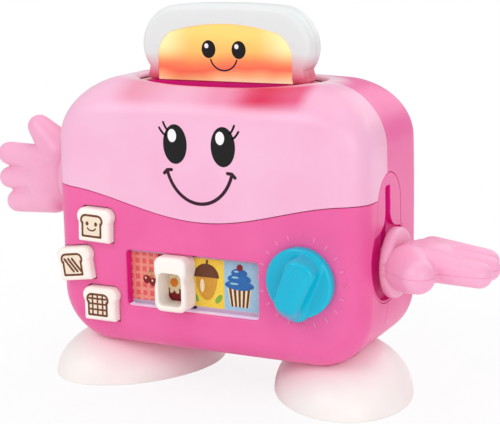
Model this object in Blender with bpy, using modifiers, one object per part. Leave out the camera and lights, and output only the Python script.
# Toy toaster with arms, feet, a pop-up slice, a dial, three buttons and a picture slider.
# Metres, +Z up, +Y towards the back, origin under the middle of the whole toy.
# Sizes below are measured from the flat front face, the floor and the middle of the body.
import math

import bmesh
import bpy
from mathutils import Matrix, Vector

# Fits
GAP = 0.0003
SLIDE_GAP = 0.0005
OVERRUN = 0.004
MERGE = 0.00001

# Body
BODY_HALF_WIDTH = 0.090
REAR_DEPTH = 0.0504
BODY_LOW = 0.0225
BODY_HIGH = 0.166
BODY_CORNER = 0.0320
BODY_LOW_CORNER = 0.0295
SIDE_FILLET = 0.013
TOP_FILLET_REACH = 0.030
TOP_FILLET_DROP = 0.020
TOP_CROWN = 0.0014
TAPER_SHARE = 0.018
PARTING_DEPTH = 0.0336
WALL = 0.0025
FACE_MARGIN = 0.003
CORNER_STEPS = 8
TOP_STEPS = 8
SIDE_STEPS = 4
FILLET_STEPS = 4

# Wavy seam between the pale upper front and the deep pink lower front
WAVE_DOWN = 0.0716
WAVE_RISE = 0.0145
WAVE_STEPS = 20

# Opening in the crowned top
SLOT_END_ROOM = 0.0047
SLOT_ROOM = 0.012
SLOT_FULLNESS_SHARE = 0.8
SLOT_STEPS = 14
LINER_WALL = 0.0015
LINER_TALL = 0.018
LINER_SINK = 0.0006

# Bread slice outlines, the angle in degrees
SLICE_NECK_ANGLE = -38
SLICE_FOOT_CORNER_SHARE = 0.2

# Slice of toast
TOAST_AHEAD = 0.0036
TOAST_THICK = 0.016
TOAST_SINK = 0.002
TOAST_TALL = 0.041
TOAST_ROD_ROOM = 0.0029
TOAST_FOOT_INSET = 0.0027
TOAST_LOBE = 0.017
TOAST_NECK_RISE = 0.009
TOAST_EDGE = 0.002
TOAST_POCKET_DEPTH = 0.0045
TOAST_POCKET_BORDER = 0.009
TOAST_POCKET_RISE = 0.004
TOAST_POCKET_DROP = 0.017
INSERT_BORDER = 0.0103
INSERT_DROP = 0.012
INSERT_CORNER = 0.014
INSERT_THICK = 0.0016
LAMP_BOARD_HALF_WIDTH = 0.009
LAMP_BOARD_TALL = 0.016
LAMP_BOARD_THICK = 0.0012
LAMP_RADIUS = 0.0025
LAMP_REACH = 0.0024

# Carriage that lifts the slice
TRAVEL = 0.033
HOLDER_TALL = 0.006
WEB_INSET = 0.0213
WEB_THICK = 0.004
BAR_BELOW = 0.036
BAR_TALL = 0.008
BAR_BEHIND = 0.0034
BAR_THICK = 0.008
ROD_RADIUS = 0.0015
ROD_BELOW = 0.0245
ROD_ABOVE = 0.0085
BAR_END = 0.0029
SPRING_RADIUS = 0.0030
SPRING_WIRE = 0.0004
SPRING_TURNS = 6
SPRING_TURN_POINTS = 9

# Rack and pinion between lever and slice
PINION_IN = 0.021
PINION_BELOW = 0.028
GEAR_MODULE = 0.0015
PINION_TEETH = 12
PRESSURE_ANGLE = math.radians(25)
ADDENDUM_SHARE = 0.8
DEDENDUM_SHARE = 1.05
BACKLASH = 0.0004
GEAR_AHEAD = 0.0001
RACK_BACK = 0.0049
GEAR_WIDE = 0.006
PIN_RADIUS = 0.0015
PIN_HEAD_GAP = 0.0025
CLIP_RADIUS = 0.003
CLIP_THICK = 0.0007

# Frame plate that carries rods and pinion
FRAME_ROOM = 0.004
FRAME_THICK = 0.002
FRAME_SIDE = 0.0063
FRAME_EDGE = 0.0045
FRAME_LIP = 0.0015
FRAME_EAR_REACH = 0.007
FRAME_EAR_HALF = 0.012
FRAME_POST = 0.0182
FRAME_RIM = 0.010
LUG_IN = 0.002
LUG_OUT = 0.0029
LUG_THICK = 0.003
LUG_REACH = 0.0045
FRAME_BOSS_OUT = 0.0018
FRAME_BOSS_DOWN = 0.0095
FRAME_BOSS_UP = 0.013
FRAME_BOSS_RADIUS = 0.0033

# Lever on the right
LEVER_BELOW = 0.025
STEM_WIDE = 0.006
STEM_TALL = 0.012
STEM_SINK = 0.007
SLOT_WIDE = 0.007
PLATE_IN = 0.006
PLATE_HALF_WIDTH = 0.017
PLATE_BEHIND = 0.0019
PLATE_ABOVE = 0.0132
PLATE_DISC = 0.0242
PLATE_DISC_ABOVE = 0.0025
POCKET_RADIUS = 0.0226
POCKET_DEPTH = 0.0026
POCKET_SHOULDER = math.radians(45.6)
POCKET_NECK_SHARE = 1.02

# Hands, in their own frame: out from the body, across towards the thumb, and through the palm
COLLAR_GAP = 0.0015
COLLAR_RADIUS = 0.0182
COLLAR_THICK = 0.0063
COLLAR_EDGE = 0.0022
PALM_OUT = 0.0245
PALM_ACROSS = -0.0045
PALM_LIFT = 0.0025
PALM_RADII = (0.0225, 0.0200, 0.0117)
WRIST_OUT = 0.0135
WRIST_RADII = (0.0125, 0.0165, 0.0120)
FINGERS = (
    ((0.020, 0.006), 0.0078, (0.0502, 0.0095), 0.0061),
    ((0.020, -0.004), 0.0078, (0.0505, -0.0060), 0.0058),
    ((0.018, -0.0125), 0.0088, (0.0455, -0.0180), 0.0063),
)
THUMB = ((0.0125, 0.0120), 0.0105, (0.0282, 0.0262), 0.0066)
FINGER_FLAT_SHARE = 0.96
HAND_SIDES = 10
PALM_SIDES = 14
COLLAR_SIDES = 28
HAND_RINGS = 6
LEFT_ABOVE = 0.008
AXLE_RADIUS = 0.006
AXLE_HUB = 0.003
AXLE_HUB_LONG = 0.008
AXLE_FLANGE = 0.009
AXLE_FLANGE_THICK = 0.002
AXLE_TAIL = 0.004
AXLE_SCREW_DEEP = 0.004

# Feet
FOOT_IN = 0.0281
FOOT_LONG = 0.0525
FOOT_WIDE = 0.037
FOOT_TALL = 0.029
FOOT_TOE_OUT = math.radians(27)
FOOT_WALL = 0.0028
FOOT_CEILING = 0.0170
SOLE_THICK = 0.002
FOOT_SIDES = 28
FOOT_RINGS = 14
FOOT_BOSS_RADIUS = 0.004
FOOT_BOSS_TALL = 0.012
FOOT_SCREW_LONG = 0.012

# Picture window and slider
WINDOW_LEFT_IN = 0.0443
WINDOW_RIGHT_IN = 0.0576
WINDOW_ABOVE = 0.0233
WINDOW_TALL = 0.0306
WINDOW_CORNER = 0.0025
WINDOW_FRAME_WALL = 0.0018
WINDOW_DEPTH = 0.0060
CARD_THICK = 0.001
CARD_LAP = 0.0045
TRACK = 0.0021
SLIDER_RIGHT_OF_EDGE = 0.02925
SLIDER_WIDE = 0.0190
SLIDER_PROUD = 0.0060
SLIDER_HOLE_WIDE = 0.0135
SLIDER_HOLE_LOW = 0.0034
SLIDER_HOLE_TALL = 0.0175
SLIDER_HOLE_CORNER = 0.003
SLIDER_WAIST = 0.0008
SLIDER_SIDE_SHARE = 0.45
SLIDER_WAIST_SHARE = 0.62
SLIDER_CORNER = 0.0045
SLIDER_EDGE = 0.0018
TONGUE_THICK = 0.0014
TONGUE_WIDE = 0.012
CONTACT_THICK = 0.0018
CONTACT_WIDE = 0.016

# Dial
DIAL_IN = 0.0334
DIAL_ABOVE = 0.0467
DIAL_RADIUS = 0.0193
DIAL_SKIRT = 0.0050
DIAL_EDGE = 0.0016
DIAL_REACH = 0.0160
DIAL_GRIP_WIDE = 0.0125
DIAL_GRIP_LOW = 0.0110
DIAL_GRIP_HIGH = 0.0140
DIAL_GRIP_CORNER = 0.0050
DIAL_GRIP_FLARE = 0.0007
DIAL_GRIP_FOOT_LOW = 0.0203
DIAL_GRIP_FOOT_HIGH = 0.0170
DIAL_GRIP_EDGE = 0.0025
DIAL_TILT = math.radians(-20)
DIAL_SHAFT_RADIUS = 0.003
DIAL_SHAFT_SINK = 0.008
ENCODER_HALF = 0.0065
ENCODER_FRONT = 0.0065

# Buttons: centre in from the body's left side, centre up from its bottom, tilt
BUTTON_PLACES = {
    "button_smile": (0.0275, 0.0665, math.radians(-2)),
    "button_stripe": (0.0143, 0.0443, math.radians(8)),
    "button_lattice": (0.0294, 0.0233, 0),
}
BUTTON_HALF_WIDTH = 0.0108
BUTTON_FOOT_INSET = 0.0010
BUTTON_LOBE = 0.0046
BUTTON_TALL = 0.0186
BUTTON_PROUD = 0.0050
BUTTON_EDGE = 0.0016
BUTTON_FLANGE = 0.0010
BUTTON_FLANGE_THICK = 0.0012
BUTTON_STEM = 0.0025
BUTTON_TRAVEL = 0.0020
BUTTON_CLEAR = 0.0004
SWITCH_HALF = 0.003
SWITCH_THICK = 0.002

# Boards
BOARD_THICK = 0.0016
BUTTON_BOARD_FRONT = 0.0120
BUTTON_BOARD_SPAN = (0.0080, 0.0385, 0.0175, 0.0745)
MAIN_BOARD_FRONT = 0.0135
MAIN_BOARD_SPAN = (0.0415, 0.0160, 0.0165, 0.0620)
BUTTON_POSTS = ((0.0340, 0.0475), (0.0110, 0.0675))
MAIN_POSTS = ((0.0515, 0.0205), (0.0515, 0.0580))
POST_RADIUS = 0.0026
CHIP_HALF = 0.006
CHIP_THICK = 0.0015
CHIP_IN = 0.085
CHIP_ABOVE = 0.0375

# Shell screws
UPPER_PEG_IN = 0.022
UPPER_PEG_DOWN = 0.016
LOWER_PEG_IN = 0.012
LOWER_PEG_UP = 0.0275
PEG_RADIUS = 0.0036
WELL_RADIUS = 0.0052
WELL_BORE = 0.0035
WELL_FLOOR = 0.0025
SCREW_HEAD = 0.0027
SCREW_HEAD_THICK = 0.0020
SCREW_SHANK = 0.0012
SCREW_BITE = 0.009

# Battery compartment at the back
CELL_RADIUS = 0.00725
CELL_LONG = 0.0505
CELL_COUNT = 3
CELL_ABOVE = 0.0085
CELL_SPACE = 0.0007
CELL_NUB = 0.0026
CELL_NUB_LONG = 0.0012
CONTACT_SPACE = 0.0030
CONTACT_PLATE = 0.0005
CONTACT_FOOT = 0.0036
CONTACT_TIP = 0.0021
TRAY_WALL = 0.0016
DOOR_LAP = 0.0030
DOOR_RIBS = 5
DOOR_RIB_SPREAD_SHARE = 0.6
DOOR_RIB_WIDE = 0.0016
DOOR_RIB_PROUD = 0.0006
DOOR_SCREW_HEAD = 0.0032

# Loudspeaker and switch at the back
SPEAKER_DOWN = 0.050
SPEAKER_RADIUS = 0.018
SPEAKER_RIM = 0.0015
SPEAKER_SIDES = 24
SPEAKER_CONE_DEEP = 0.006
MAGNET_RADIUS = 0.009
MAGNET_THICK = 0.004
GRILLE_SLOTS = 7
GRILLE_SLOT_WIDE = 0.0018
GRILLE_RADIUS = 0.0150
SPEAKER_RING_WALL = 0.0014
SWITCH_IN = 0.040
SWITCH_ABOVE = 0.0355
SWITCH_TRAVEL = 0.005
SWITCH_KNOB_WIDE = 0.005
SWITCH_KNOB_TALL = 0.004
SWITCH_KNOB_PROUD = 0.0018
SWITCH_BODY_WIDE = 0.016
SWITCH_BODY_TALL = 0.008
SWITCH_BODY_DEEP = 0.006
ROUND_SIDES = 16
SMALL_SIDES = 8

# Worked out once: the mechanism across the body
GEAR_RADIUS = GEAR_MODULE * PINION_TEETH / 2
GEAR_PITCH = math.pi * GEAR_MODULE
PINION_X = BODY_HALF_WIDTH - PINION_IN
ROD_X = PINION_X - GEAR_RADIUS - RACK_BACK - BAR_END
TOAST_HALF_WIDTH = ROD_X - TOAST_ROD_ROOM
TOAST_FOOT_HALF_WIDTH = TOAST_HALF_WIDTH - TOAST_FOOT_INSET
INSERT_HALF_WIDTH = TOAST_HALF_WIDTH - INSERT_BORDER
TOAST_POCKET_HALF_WIDTH = INSERT_HALF_WIDTH - TOAST_POCKET_BORDER
SLOT_HALF_LENGTH = TOAST_HALF_WIDTH + SLOT_END_ROOM
HOLDER_HALF_WIDTH = TOAST_FOOT_HALF_WIDTH - GAP
WEB_HALF_WIDTH = TOAST_HALF_WIDTH - WEB_INSET
FRAME_HALF_WIDTH = ROD_X + FRAME_SIDE
FRAME_WINDOW_HALF = ROD_X - FRAME_POST
FRAME_BOSS_X = ROD_X + FRAME_BOSS_OUT

# Worked out once: the mechanism from front to back
BODY_DEPTH = PARTING_DEPTH + REAR_DEPTH
INNER_BACK = BODY_DEPTH - WALL
WELL_SEAT = PARTING_DEPTH + WELL_FLOOR + GAP
TOAST_FRONT = PARTING_DEPTH - TOAST_AHEAD
SLOT_FRONT = TOAST_FRONT - SLOT_ROOM
SLOT_BACK = TOAST_FRONT + TOAST_THICK + SLOT_ROOM
BAR_FRONT = PARTING_DEPTH + BAR_BEHIND
ROD_Y = BAR_FRONT + BAR_THICK / 2
FRAME_FRONT = BAR_FRONT + BAR_THICK + FRAME_ROOM
GEAR_FRONT = PARTING_DEPTH - GEAR_AHEAD
GEAR_MIDDLE = GEAR_FRONT + GEAR_WIDE / 2
PLATE_CENTRE_Y = PARTING_DEPTH + PLATE_BEHIND
FOOT_X = BODY_HALF_WIDTH - FOOT_IN
FOOT_Y = BODY_DEPTH / 2

# Worked out once: the mechanism from the top down
LINER_LOW = BODY_HIGH - LINER_TALL
TOAST_LOW = BODY_HIGH - TOAST_SINK
TOAST_HIGH = TOAST_LOW + TOAST_TALL
TOAST_POCKET_HIGH = TOAST_HIGH - TOAST_POCKET_DROP
INSERT_HIGH = TOAST_HIGH - INSERT_DROP
LAMP_BOARD_HIGH = TOAST_LOW + LAMP_BOARD_TALL
BAR_LOW = TOAST_LOW - BAR_BELOW
ROD_HIGH = BAR_LOW + BAR_TALL + ROD_ABOVE
ROD_LOW = BAR_LOW - TRAVEL - ROD_BELOW
FRAME_LOW = ROD_LOW - FRAME_EDGE
FRAME_HIGH = ROD_HIGH + FRAME_LIP
FRAME_BOSS_ZS = {"left": FRAME_HIGH - FRAME_BOSS_DOWN, "right": FRAME_LOW + FRAME_BOSS_UP}
PINION_Z = BAR_LOW - PINION_BELOW
LEVER_Z = PINION_Z - LEVER_BELOW
LEFT_Z = PINION_Z + LEFT_ABOVE
PLATE_HIGH = LEVER_Z + TRAVEL + PLATE_ABOVE
PLATE_DISC_Z = LEVER_Z + PLATE_DISC_ABOVE
WAVE_LOW = BODY_HIGH - WAVE_DOWN
SPEAKER_Z = BODY_HIGH - SPEAKER_DOWN

# Worked out once: what the front carries
WINDOW_LEFT = WINDOW_LEFT_IN - BODY_HALF_WIDTH
WINDOW_RIGHT = BODY_HALF_WIDTH - WINDOW_RIGHT_IN
WINDOW_LOW = BODY_LOW + WINDOW_ABOVE
WINDOW_HIGH = WINDOW_LOW + WINDOW_TALL
SLIDER_X = WINDOW_LEFT + SLIDER_RIGHT_OF_EDGE
DIAL_X = BODY_HALF_WIDTH - DIAL_IN
DIAL_Z = BODY_LOW + DIAL_ABOVE
BUTTONS = {}
for BUTTON_NAME, (PLACE_IN, PLACE_UP, TILT) in BUTTON_PLACES.items():
    BUTTONS[BUTTON_NAME] = (PLACE_IN - BODY_HALF_WIDTH, BODY_LOW + PLACE_UP, TILT)
BUTTON_BOARD_BOX = (BUTTON_BOARD_SPAN[0] - BODY_HALF_WIDTH, BUTTON_BOARD_SPAN[1] - BODY_HALF_WIDTH,
                    BODY_LOW + BUTTON_BOARD_SPAN[2], BODY_LOW + BUTTON_BOARD_SPAN[3])
MAIN_BOARD_BOX = (MAIN_BOARD_SPAN[0] - BODY_HALF_WIDTH, BODY_HALF_WIDTH - MAIN_BOARD_SPAN[1],
                  BODY_LOW + MAIN_BOARD_SPAN[2], BODY_LOW + MAIN_BOARD_SPAN[3])
BOARD_POSTS = {
    "button": [(across - BODY_HALF_WIDTH, BODY_LOW + up) for across, up in BUTTON_POSTS],
    "main": [(BODY_HALF_WIDTH - across, BODY_LOW + up) for across, up in MAIN_POSTS],
}
CHIP_X = BODY_HALF_WIDTH - CHIP_IN
CHIP_Z = BODY_LOW + CHIP_ABOVE
PEGS = {
    "front_upper_shell": (BODY_HALF_WIDTH - UPPER_PEG_IN, BODY_HIGH - UPPER_PEG_DOWN),
    "front_lower_shell": (BODY_HALF_WIDTH - LOWER_PEG_IN, BODY_LOW + LOWER_PEG_UP),
}

# Worked out once: what the back carries
SWITCH_X = BODY_HALF_WIDTH - SWITCH_IN
SWITCH_Z = BODY_LOW + SWITCH_ABOVE
CELL_LOW = BODY_LOW + CELL_ABOVE
CELL_PITCH = 2 * CELL_RADIUS + CELL_SPACE
CELL_Y = INNER_BACK - CELL_RADIUS - DOOR_RIB_PROUD - CELL_SPACE
TRAY_HALF = CELL_LONG / 2 + CONTACT_SPACE + TRAY_WALL
TRAY_LOW = CELL_LOW - TRAY_WALL - CELL_SPACE
TRAY_HIGH = CELL_LOW + CELL_COUNT * CELL_PITCH + TRAY_WALL
COLLAR_X = BODY_HALF_WIDTH + COLLAR_GAP


def clear_scene():
    for item in list(bpy.data.objects):
        bpy.data.objects.remove(item, do_unlink=True)


def new_collection(name):
    collection = bpy.data.collections.new(name)
    bpy.context.scene.collection.children.link(collection)
    return collection


def plastic(name, red, green, blue, roughness=0.35, metallic=0.0):
    surface = bpy.data.materials.new(name)
    surface.use_nodes = True
    shader = surface.node_tree.nodes["Principled BSDF"]
    shader.inputs["Base Color"].default_value = (red, green, blue, 1)
    shader.inputs["Roughness"].default_value = roughness
    shader.inputs["Metallic"].default_value = metallic
    return surface


clear_scene()
TOY = new_collection("toy_toaster")
TOOLS = new_collection("cutters")
ROOT = bpy.data.objects.new("toy_origin", None)
TOY.objects.link(ROOT)

PALE_PINK = plastic("pale_pink", 0.93, 0.50, 0.68)
DEEP_PINK = plastic("deep_pink", 0.86, 0.14, 0.38)
ARM_PINK = plastic("arm_pink", 0.92, 0.40, 0.60)
MAGENTA = plastic("magenta", 0.60, 0.00, 0.20)
CREAM = plastic("cream", 0.95, 0.90, 0.80)
BLUE = plastic("sky_blue", 0.01, 0.45, 0.68, 0.25)
FROST = plastic("frosted_white", 0.80, 0.82, 0.82, 0.45)
PRINT = plastic("printed_card", 0.80, 0.60, 0.20, 0.5)
WHITE = plastic("white_abs", 0.85, 0.85, 0.84)
GREEN = plastic("board_green", 0.02, 0.22, 0.08, 0.5)
BLACK = plastic("black_abs", 0.02, 0.02, 0.02)
STEEL = plastic("zinc_steel", 0.60, 0.60, 0.62, 0.3, 1.0)


def finish_mesh(name, shape, origin):
    bmesh.ops.translate(shape, vec=-Vector(origin), verts=shape.verts)
    mesh = bpy.data.meshes.new(name)
    shape.to_mesh(mesh)
    shape.free()
    mesh.shade_smooth()
    mesh.set_sharp_from_angle(angle=math.radians(35))
    return mesh


def add_part(name, shape, surface, origin=(0, 0, 0)):
    """A piece of the toy; its origin lies on its joint's axis where it has one."""
    item = bpy.data.objects.new(name, finish_mesh(name, shape, origin))
    item.location = origin
    item.data.materials.append(surface)
    item.parent = ROOT
    TOY.objects.link(item)
    return item


def add_tool(name, shape):
    """A solid that only cuts, joins or trims the pieces."""
    item = bpy.data.objects.new(name, finish_mesh(name, shape, (0, 0, 0)))
    item.parent = ROOT
    item.hide_render = True
    item.display_type = "WIRE"
    TOOLS.objects.link(item)
    return item


def combine(target, tool, operation):
    step = target.modifiers.new(tool.name, "BOOLEAN")
    step.solver = "EXACT"
    step.operation = operation
    step.object = tool


def cut(target, *tools):
    for tool in tools:
        combine(target, tool, "DIFFERENCE")


def join(target, *tools):
    for tool in tools:
        combine(target, tool, "UNION")


def trim(target, *tools):
    for tool in tools:
        combine(target, tool, "INTERSECT")


def box(low, high):
    """A cuboid between two opposite corners."""
    low, high = Vector(low), Vector(high)
    shape = bmesh.new()
    size = high - low
    place = Matrix.Translation((low + high) / 2) @ Matrix.Diagonal((size.x, size.y, size.z, 1))
    bmesh.ops.create_cube(shape, size=1, matrix=place)
    return shape


AXIS_TURNS = {
    "X": Matrix.Rotation(math.pi / 2, 4, "Y"),
    "Y": Matrix.Rotation(-math.pi / 2, 4, "X"),
    "Z": Matrix.Identity(4),
}


def rod(axis, centre, radius, low, high, sides=ROUND_SIDES, end_radius=None):
    """A round bar along an axis; centre gives the two other coordinates in X, Y, Z order."""
    middle = list(centre)
    middle.insert("XYZ".index(axis), (low + high) / 2)
    shape = bmesh.new()
    bmesh.ops.create_cone(
        shape, cap_ends=True, segments=sides, radius1=radius,
        radius2=radius if end_radius is None else end_radius, depth=high - low,
        matrix=Matrix.Translation(middle) @ AXIS_TURNS[axis])
    return shape


def prism(outline, axis, low, high):
    """A flat outline, given as pairs, drawn out along the axis square to it."""
    shape = bmesh.new()
    place = "XYZ".index(axis)
    corners = []
    for pair in outline:
        point = list(pair)
        point.insert(place, low)
        corners.append(shape.verts.new(point))
    face = shape.faces.new(corners)
    drawn = bmesh.ops.extrude_face_region(shape, geom=[face])
    step = Vector()
    step[place] = high - low
    moved = [item for item in drawn["geom"] if isinstance(item, bmesh.types.BMVert)]
    bmesh.ops.translate(shape, vec=step, verts=moved)
    bmesh.ops.recalc_face_normals(shape, faces=shape.faces)
    return shape


def merged(*shapes):
    """Several separate solids in one mesh."""
    whole = bmesh.new()
    for shape in shapes:
        mesh = bpy.data.meshes.new("piece")
        shape.to_mesh(mesh)
        shape.free()
        whole.from_mesh(mesh)
        bpy.data.meshes.remove(mesh)
    return whole


def rounded(shape, width, segments=2, keep=lambda edge: True, sharp=math.radians(30)):
    """Rounds the sharp edges that keep accepts."""
    edges = [edge for edge in shape.edges
             if edge.is_manifold and edge.calc_face_angle() > sharp and keep(edge)]
    bmesh.ops.bevel(shape, geom=edges, offset=width, segments=segments, profile=0.5,
                    affect="EDGES", clamp_overlap=True, material=-1)
    bmesh.ops.dissolve_degenerate(shape, dist=MERGE, edges=shape.edges)
    return shape


def at_level(axis, value):
    """Accepts edges whose two ends lie at one level along an axis."""
    index = "XYZ".index(axis)
    return lambda edge: all(abs(vert.co[index] - value) < MERGE for vert in edge.verts)


def arc(centre, radius, start, stop, steps):
    """Points on a round stretch, angles in degrees from the first axis."""
    points = []
    for step in range(steps + 1):
        angle = math.radians(start + (stop - start) * step / steps)
        points.append((centre[0] + radius * math.cos(angle), centre[1] + radius * math.sin(angle)))
    return points


def rounded_rectangle(left, right, low, high, corner, steps=3):
    points = []
    points += arc((right - corner, low + corner), corner, -90, 0, steps)
    points += arc((right - corner, high - corner), corner, 0, 90, steps)
    points += arc((left + corner, high - corner), corner, 90, 180, steps)
    points += arc((left + corner, low + corner), corner, 180, 270, steps)
    return points


# Outer skin of the body

def body_outline():
    """Points round the front view with their outward directions, anticlockwise seen from the front."""
    centre_x = BODY_HALF_WIDTH - BODY_CORNER
    low_x = BODY_HALF_WIDTH - BODY_LOW_CORNER
    high_z = BODY_HIGH - BODY_CORNER
    low_z = BODY_LOW + BODY_LOW_CORNER
    points = []

    def corner(x, z, start, radius):
        for step in range(CORNER_STEPS + 1):
            angle = math.radians(start + 90 * step / CORNER_STEPS)
            out = (math.cos(angle), math.sin(angle))
            points.append((x + radius * out[0], z + radius * out[1], out[0], out[1]))

    def straight(start, stop, out, steps):
        for step in range(1, steps):
            share = step / steps
            points.append((start[0] + (stop[0] - start[0]) * share,
                           start[1] + (stop[1] - start[1]) * share, out[0], out[1]))

    corner(-low_x, low_z, 180, BODY_LOW_CORNER)
    straight((-low_x, BODY_LOW), (low_x, BODY_LOW), (0, -1), SIDE_STEPS)
    corner(low_x, low_z, 270, BODY_LOW_CORNER)
    straight((BODY_HALF_WIDTH, low_z), (BODY_HALF_WIDTH, high_z), (1, 0), SIDE_STEPS)
    corner(centre_x, high_z, 0, BODY_CORNER)
    straight((centre_x, BODY_HIGH), (-centre_x, BODY_HIGH), (0, 1), TOP_STEPS)
    corner(-centre_x, high_z, 90, BODY_CORNER)
    straight((-BODY_HALF_WIDTH, high_z), (-BODY_HALF_WIDTH, low_z), (-1, 0), SIDE_STEPS)
    return points


def shaped(x, z):
    """Draws the upper sides in a little and lifts the middle of the top."""
    middle = (BODY_LOW + BODY_HIGH) / 2
    rise = max(0.0, z - middle) / (BODY_HIGH - middle)
    inner = BODY_HALF_WIDTH - BODY_CORNER
    bulge = max(0.0, 1 - (x / inner) ** 2) if z > middle else 0.0
    return x * (1 - TAPER_SHARE * rise ** 2), z + TOP_CROWN * bulge


def skin_ring(turn, face_y, inward, grow):
    """One ring of the edge rounding: turn 0 lies in the flat face, a right angle at full size."""
    ring = []
    for x, z, out_x, out_z in body_outline():
        x, z = shaped(x, z)
        upward = max(0.0, out_z) ** 2
        reach = SIDE_FILLET + (TOP_FILLET_REACH - SIDE_FILLET) * upward
        drop = SIDE_FILLET + (TOP_FILLET_DROP - SIDE_FILLET) * upward
        inset = drop * (1 - math.sin(turn)) - grow * math.sin(turn)
        y = face_y + inward * (reach * (1 - math.cos(turn)) - grow * math.cos(turn))
        ring.append(Vector((x - out_x * inset, y, z - out_z * inset)))
    return ring


def face_ring(face_y, inward, grow):
    """A ring just inside the flat face, which keeps that face flat."""
    ring = skin_ring(0, face_y, inward, grow)
    moved = []
    for point, (_, _, out_x, out_z) in zip(ring, body_outline()):
        moved.append(point - Vector((out_x, 0, out_z)) * FACE_MARGIN)
    return moved


def half_rings(face_y, inward, grow):
    rings = [face_ring(face_y, inward, grow)]
    for step in range(FILLET_STEPS + 1):
        rings.append(skin_ring(math.pi / 2 * step / FILLET_STEPS, face_y, inward, grow))
    return rings


def flat_ring(ring, y):
    return [Vector((point.x, y, point.z)) for point in ring]


def loft(rings, cap_front, cap_back):
    """A skin through rings that run from front to back, facing outwards."""
    shape = bmesh.new()
    loops = [[shape.verts.new(point) for point in ring] for ring in rings]
    for near, far in zip(loops, loops[1:]):
        for index in range(len(near)):
            after = (index + 1) % len(near)
            shape.faces.new((near[index], far[index], far[after], near[after]))
    if cap_front:
        shape.faces.new(loops[0])
    if cap_back:
        shape.faces.new(list(reversed(loops[-1])))
    return shape


def front_skin():
    rings = half_rings(0, 1, 0)
    rings.append(flat_ring(rings[-1], PARTING_DEPTH - GAP / 2))
    return loft(rings, True, False)


def back_skin():
    rings = half_rings(BODY_DEPTH, -1, 0)
    rings.append(flat_ring(rings[-1], PARTING_DEPTH + GAP / 2))
    rings.reverse()
    return loft(rings, False, True)


def body_block(grow):
    front = half_rings(0, 1, grow)
    back = half_rings(BODY_DEPTH, -1, grow)
    back.reverse()
    return loft(front + back, True, True)


def add_shell(name, shape, surface):
    item = add_part(name, shape, surface)
    wall = item.modifiers.new("wall", "SOLIDIFY")
    wall.thickness = WALL
    wall.offset = -1
    wall.use_even_offset = True
    return item


# Outlines shared by pieces and their cutters

def wave_outline(lift):
    reach = BODY_HALF_WIDTH + OVERRUN
    points = [(-reach, BODY_LOW - OVERRUN), (reach, BODY_LOW - OVERRUN)]
    for step in range(WAVE_STEPS + 1):
        x = reach - 2 * reach * step / WAVE_STEPS
        swing = (1 - math.cos(math.pi * x / BODY_HALF_WIDTH)) / 2
        points.append((x, WAVE_LOW + lift + WAVE_RISE * swing))
    return points


def slot_outline(inset):
    """A full lens seen from above, anticlockwise from its right end."""
    middle = (SLOT_FRONT + SLOT_BACK) / 2
    half_wide = (SLOT_BACK - SLOT_FRONT) / 2 - inset
    half_long = SLOT_HALF_LENGTH - inset
    points = []
    for step in range(2 * SLOT_STEPS):
        angle = math.pi * step / SLOT_STEPS
        along, across = math.cos(angle), math.sin(angle)
        along = math.copysign(abs(along) ** SLOT_FULLNESS_SHARE, along)
        across = math.copysign(abs(across) ** SLOT_FULLNESS_SHARE, across)
        points.append((half_long * along, middle + half_wide * across))
    return points


def slice_outline(half_width, foot_half_width, low, high, lobe, neck):
    """A slice of bread: straight sides, a slight neck and two round shoulders."""
    lobe_x = half_width - lobe
    lobe_z = high - lobe
    foot_corner = lobe * SLICE_FOOT_CORNER_SHARE
    right = arc((foot_half_width - foot_corner, low + foot_corner), foot_corner, -90, 0, 2)
    right.append((foot_half_width, low + neck))
    right += arc((lobe_x, lobe_z), lobe, SLICE_NECK_ANGLE, 90, 7)
    left = [(-x, z) for x, z in reversed(right)]
    return right + left


def keyhole_outline(radius, half_width, high):
    """A round pocket that narrows into an upright slot."""
    lean = math.degrees(math.asin(min(1.0, half_width / radius)) + POCKET_SHOULDER)
    points = arc((PARTING_DEPTH, PLATE_DISC_Z), radius, 90 + lean, 450 - lean, 20)
    neck = PLATE_DISC_Z + radius * POCKET_NECK_SHARE
    points.append((PARTING_DEPTH + half_width, neck))
    points.append((PARTING_DEPTH + half_width, high))
    points.append((PARTING_DEPTH - half_width, high))
    points.append((PARTING_DEPTH - half_width, neck))
    return points


def plate_outline(inset):
    """The lever's side plate: a stadium that widens to a disc below."""
    half = PLATE_HALF_WIDTH - inset
    radius = PLATE_DISC - inset
    top = arc((PLATE_CENTRE_Y, PLATE_HIGH - PLATE_HALF_WIDTH), half, 0, 180, 8)
    left_drop = math.sqrt(radius ** 2 - (PARTING_DEPTH - (PLATE_CENTRE_Y - half)) ** 2)
    right_drop = math.sqrt(radius ** 2 - (PLATE_CENTRE_Y + half - PARTING_DEPTH) ** 2)
    left_angle = math.degrees(math.atan2(left_drop, PLATE_CENTRE_Y - half - PARTING_DEPTH))
    right_angle = math.degrees(math.atan2(right_drop, PLATE_CENTRE_Y + half - PARTING_DEPTH)) + 360
    return top + arc((PARTING_DEPTH, PLATE_DISC_Z), radius, left_angle, right_angle, 20)


def window_outline(margin, corner):
    return rounded_rectangle(WINDOW_LEFT - margin, WINDOW_RIGHT + margin,
                             WINDOW_LOW - margin, WINDOW_HIGH + margin, corner)


def button_outline(name, margin, ears=0.0):
    """A small slice outline, tilted about its centre; ears widens it sideways only."""
    centre_x, centre_z, tilt = BUTTONS[name]
    half = BUTTON_HALF_WIDTH + margin + ears
    tall = BUTTON_TALL / 2 + margin
    foot_half = half - BUTTON_FOOT_INSET
    flat = slice_outline(half, foot_half, -tall, tall, BUTTON_LOBE, tall - margin)
    turned = []
    for x, z in flat:
        turned.append((centre_x + x * math.cos(tilt) - z * math.sin(tilt),
                       centre_z + x * math.sin(tilt) + z * math.cos(tilt)))
    return turned


# Shells

def peg_places(name):
    across, up = PEGS[name]
    return [(-across, up), (across, up)]


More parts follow.
